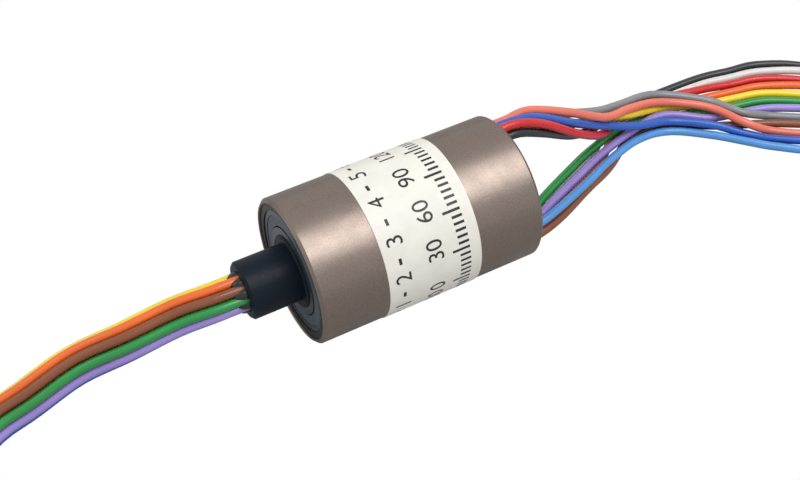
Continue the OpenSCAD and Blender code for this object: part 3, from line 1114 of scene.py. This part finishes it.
@dataclass
class ShaftPotting:
    """The resin that fills the shaft's bore and climbs a little way up each lead.

    Attributes:
        tip_x: The shaft's end.
        bore_r: The bore's radius.
        play: How far the resin stays off the bore's wall.
        depth: How deep the resin goes.
        dome: How far it bulges.
        collar_r: Its radius round a lead.
        climb: How far it climbs up a lead.
        uneven: How much of the dome's height each third lead, and the rest, adds to the climb.
        grain: The size of the pieces that it flows together from.
        bundle: The places of the leads.
    """

    tip_x: float = -13.65
    bore_r: float = 1.6
    play: float = 0.015
    depth: float = 1.2
    dome: float = 0.6
    collar_r: float = 0.5
    climb: float = 0.55
    uneven: tuple[float, float] = (0.8, 0.55)
    grain: float = 0.07
    bundle: Bundle = field(default_factory=Bundle)

    def build(self) -> bpy.types.Object:
        """Makes the potting.

        Returns:
            The potting's mesh.
        """
        bpy.ops.object.select_all(action="DESELECT")
        bpy.ops.mesh.primitive_cylinder_add(
            vertices=64,
            radius=(self.bore_r - self.play) * MM,
            depth=self.depth * MM,
            location=((self.tip_x + self.depth / 2 + 0.02) * MM, 0, 0),
            rotation=(0, math.pi / 2, 0),
        )
        blobs = [added("plug")]
        bpy.ops.mesh.primitive_uv_sphere_add(
            segments=48, ring_count=24, radius=MM, location=((self.tip_x + 0.1) * MM, 0, 0)
        )
        blobs.append(added("dome"))
        blobs[-1].scale = (self.dome, self.bore_r - 0.1, self.bore_r - 0.1)
        for k in range(12):
            y, z = self.bundle.place(k, 0)
            bpy.ops.mesh.primitive_uv_sphere_add(
                segments=24, ring_count=16, radius=MM, location=(self.tip_x * MM, y * MM, z * MM)
            )
            blobs.append(added("collar"))
            reach = self.climb + self.dome * self.uneven[1 if k % 3 else 0]
            blobs[-1].scale = (reach, self.collar_r, self.collar_r)
        potting = settle(join(blobs, "shaft_potting"))
        remesh = potting.modifiers.new("flow", "REMESH")
        remesh.mode = "VOXEL"
        remesh.voxel_size = self.grain * MM
        soften = potting.modifiers.new("soften", "SMOOTH")
        soften.factor = 0.6
        soften.iterations = 6
        for modifier in ("flow", "soften"):
            bpy.ops.object.modifier_apply(modifier=modifier)
        bpy.ops.object.shade_smooth()
        potting.data.materials.clear()
        potting.data.materials.append(Paint.of("potting"))
        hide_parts("rotor_potting")
        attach(potting, "rotor")
        return potting


# ---------------------------------------------------------------------------------------------
# Label
# ---------------------------------------------------------------------------------------------


@dataclass
class LabelPrint:
    """Plain numbers and rules that are printed round the label, one number for each circuit.

    Attributes:
        radius: The label's radius.
        lift: How far the print lies above it.
        middle_x: The label's middle.
        size: The size of the digits.
        ink: The print's colour.
    """

    radius: float = 6.06
    lift: float = 0.006
    middle_x: float = -0.1
    size: float = 1.9
    ink: tuple[float, float, float] = (0.02, 0.02, 0.022)

    def wrap(self, obj: bpy.types.Object, x: float, angle: float) -> bpy.types.Object:
        """Lays a flat print round the label.

        Args:
            obj: The flat print, which reads along +X and gets its top towards the shaft.
            x: Where its line lies along the housing.
            angle: Where it begins round the axis, from +Y towards +Z, in degrees.

        Returns:
            The same object.
        """
        radius = (self.radius + self.lift) * MM
        for vertex in obj.data.vertices:
            around = math.radians(angle) - vertex.co.x / radius
            vertex.co = (
                x * MM - vertex.co.y,
                radius * math.cos(around),
                radius * math.sin(around),
            )
        return obj

    def number(self, text: str, x: float, angle: float) -> bpy.types.Object:
        """Makes a wrapped number.

        Args:
            text: The number's digits.
            x: Where its line lies along the housing.
            angle: Where it begins round the axis, in degrees.

        Returns:
            The number's mesh.
        """
        bpy.ops.object.select_all(action="DESELECT")
        bpy.ops.object.text_add()
        obj = added("number")
        obj.data.body = text
        obj.data.size = self.size * MM
        bpy.ops.object.convert(target="MESH")
        obj = added("number")
        bpy.ops.object.mode_set(mode="EDIT")
        bpy.ops.mesh.select_all(action="SELECT")
        bpy.ops.mesh.quads_convert_to_tris()
        bpy.ops.mesh.subdivide(number_cuts=3)
        bpy.ops.object.mode_set(mode="OBJECT")
        return self.wrap(obj, x, angle)

    def rule(self, x: float, angle: float, sweep: float, thick: float) -> bpy.types.Object:
        """Makes a wrapped line round the label.

        Args:
            x: Where the line lies along the housing.
            angle: Where it begins round the axis, in degrees.
            sweep: How far round it goes, in degrees.
            thick: The line's width.

        Returns:
            The line's mesh.
        """
        length = math.radians(sweep) * self.radius
        bpy.ops.object.select_all(action="DESELECT")
        bpy.ops.mesh.primitive_grid_add(
            x_subdivisions=max(int(sweep / 3), 1), y_subdivisions=1, size=1
        )
        obj = added("rule")
        obj.scale = (length * MM, thick * MM, 1)
        obj.location = (length / 2 * MM, 0, 0)
        settle(obj)
        return self.wrap(obj, x, angle)

    def build(self) -> bpy.types.Object:
        """Makes the whole print.

        Returns:
            The print's mesh.
        """
        marks = []
        for k in range(12):
            marks.append(self.number(str(k + 1), self.middle_x - 2.1, 200 - 30 * k))
            marks.append(self.rule(self.middle_x - 2.75, 184 - 30 * k, 5, 0.25))
            marks.append(self.number(str(30 * k), self.middle_x + 0.8, 193 - 30 * k))
        for k in range(72):
            long = k % 6 == 0
            x, reach = (2.3, 1.5) if long else (2.6, 0.9)
            marks.append(self.rule(self.middle_x + x, 192 - 5 * k, 2, reach))
        printed = join(marks, "label_print")
        ink = Moulded("label_ink", self.ink, 0.4).build()
        printed.data.materials.clear()
        printed.data.materials.append(ink)
        bpy.ops.object.mode_set(mode="EDIT")
        bpy.ops.mesh.select_all(action="SELECT")
        bpy.ops.mesh.normals_make_consistent(inside=False)
        bpy.ops.object.mode_set(mode="OBJECT")
        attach(printed, "stator")
        return printed


# ---------------------------------------------------------------------------------------------
# Turned and moulded pieces
# ---------------------------------------------------------------------------------------------


class Pieces:
    """The pieces that come from the frame with their shape, and get their finishes."""

    def dress(self) -> int:
        """Gives each shown piece of the frame its slot's finish.

        Returns:
            How many pieces were dressed.
        """
        count = 0
        for subpart in frame["record"]["subparts"]:
            obj = frame["nodes"][subpart["node"]]
            if obj.hide_render:
                continue
            obj.data.materials.clear()
            obj.data.materials.append(Paint.of(subpart["material_slot"]))
            count += 1
        return count


# ---------------------------------------------------------------------------------------------
# Studio
# ---------------------------------------------------------------------------------------------


@dataclass
class Lamp:
    """A soft square lamp."""

    name: str
    place: tuple[float, float, float]
    size: float
    power: float

    def build(self, target: Vector) -> None:
        """Makes the lamp, facing target.

        Args:
            target: Where the lamp points.
        """
        light = bpy.data.lights.new(self.name, "AREA")
        light.size = self.size
        light.energy = self.power
        obj = bpy.data.objects.new(self.name, light)
        bpy.context.collection.objects.link(obj)
        obj.location = self.place
        obj.rotation_euler = (target - Vector(self.place)).to_track_quat("-Z", "Y").to_euler()


@dataclass
class Studio:
    """The camera, the pale floor and the soft light."""

    camera_place: tuple[float, float, float] = (-34.106, -62.582, 79.472)
    forward: tuple[float, float, float] = (0.31615, 0.58012, -0.75068)
    up: tuple[float, float, float] = (0.35922, 0.65915, 0.66067)
    lens: float = 60.83
    floor_z: float = -6.06
    lamps: tuple[Lamp, ...] = (
        Lamp("key", (0.10, -0.09, 0.28), 0.2, 0.4),
        Lamp("fill", (-0.2, 0.1, 0.24), 0.2, 0.1),
    )

    def camera(self) -> None:
        """Makes the scene's camera."""
        data = bpy.data.cameras.new("camera")
        data.lens = self.lens
        data.clip_start, data.clip_end = 0.005, 20
        obj = bpy.data.objects.new("camera", data)
        bpy.context.collection.objects.link(obj)
        forward, up = Vector(self.forward).normalized(), Vector(self.up).normalized()
        right = forward.cross(up).normalized()
        turn = Matrix((right, up, -forward)).transposed().to_4x4()
        obj.matrix_world = Matrix.Translation(Vector(self.camera_place) * MM) @ turn
        bpy.context.scene.camera = obj

    def floor(self) -> None:
        """Makes the pale floor, which is white to the camera and keeps the object's shadow."""
        bpy.ops.object.select_all(action="DESELECT")
        bpy.ops.mesh.primitive_plane_add(size=8, location=(0, 0, self.floor_z * MM))
        floor = added("floor")
        material = bpy.data.materials.new("floor")
        material.use_nodes = True
        tree = material.node_tree
        shader = tree.nodes["Principled BSDF"]
        shader.inputs["Base Color"].default_value = (0.42, 0.42, 0.42, 1)
        shader.inputs["Roughness"].default_value = 0.9
        white = tree.nodes.new("ShaderNodeEmission")
        self.white_to_camera(tree, shader.outputs[0], white.outputs[0], "Material Output")
        floor.data.materials.append(material)

    @staticmethod
    def white_to_camera(
        tree: bpy.types.NodeTree,
        lit: bpy.types.NodeSocket,
        white: bpy.types.NodeSocket,
        output: str,
    ) -> None:
        """Shows the camera a white surface where other rays meet the lit one.

        Args:
            tree: The material's or world's nodes.
            lit: The shader that lights the scene.
            white: The white shader.
            output: The output node's name.
        """
        path = tree.nodes.new("ShaderNodeLightPath")
        mix = tree.nodes.new("ShaderNodeMixShader")
        tree.links.new(path.outputs["Is Camera Ray"], mix.inputs[0])
        tree.links.new(lit, mix.inputs[1])
        tree.links.new(white, mix.inputs[2])
        tree.links.new(mix.outputs[0], tree.nodes[output].inputs["Surface"])

    def world(self) -> None:
        """Makes the even light of a pale room."""
        world = bpy.data.worlds.new("room")
        bpy.context.scene.world = world
        world.use_nodes = True
        tree = world.node_tree
        room = tree.nodes["Background"]
        room.inputs["Color"].default_value = (1, 1, 1, 1)
        room.inputs["Strength"].default_value = 0.7
        white = tree.nodes.new("ShaderNodeBackground")
        white.inputs["Color"].default_value = (1, 1, 1, 1)
        self.white_to_camera(tree, room.outputs[0], white.outputs[0], "World Output")

    def build(self) -> None:
        """Makes the floor and the lights, and sets the view transform."""
        self.floor()
        self.world()
        for lamp in self.lamps:
            lamp.build(Vector((0, 0, 0)))
        bpy.context.scene.view_settings.view_transform = "Standard"


def main() -> None:
    """Builds the scene, piece by piece."""
    logging.basicConfig(level=logging.INFO, format="%(message)s")
    studio = Studio()
    studio.camera()
    for end in (ShaftLeads(), HousingLeads()):
        log.info("%s: %d pieces", type(end).__name__, len(end.build()))
    for piece in (ShaftPotting(), LabelPrint()):
        built = piece.build()
        log.info("%s: %d faces", built.name, len(built.data.polygons))
    log.info("pieces of the frame dressed: %d", Pieces().dress())
    studio.build()


if __name__ == "__main__":
    main()
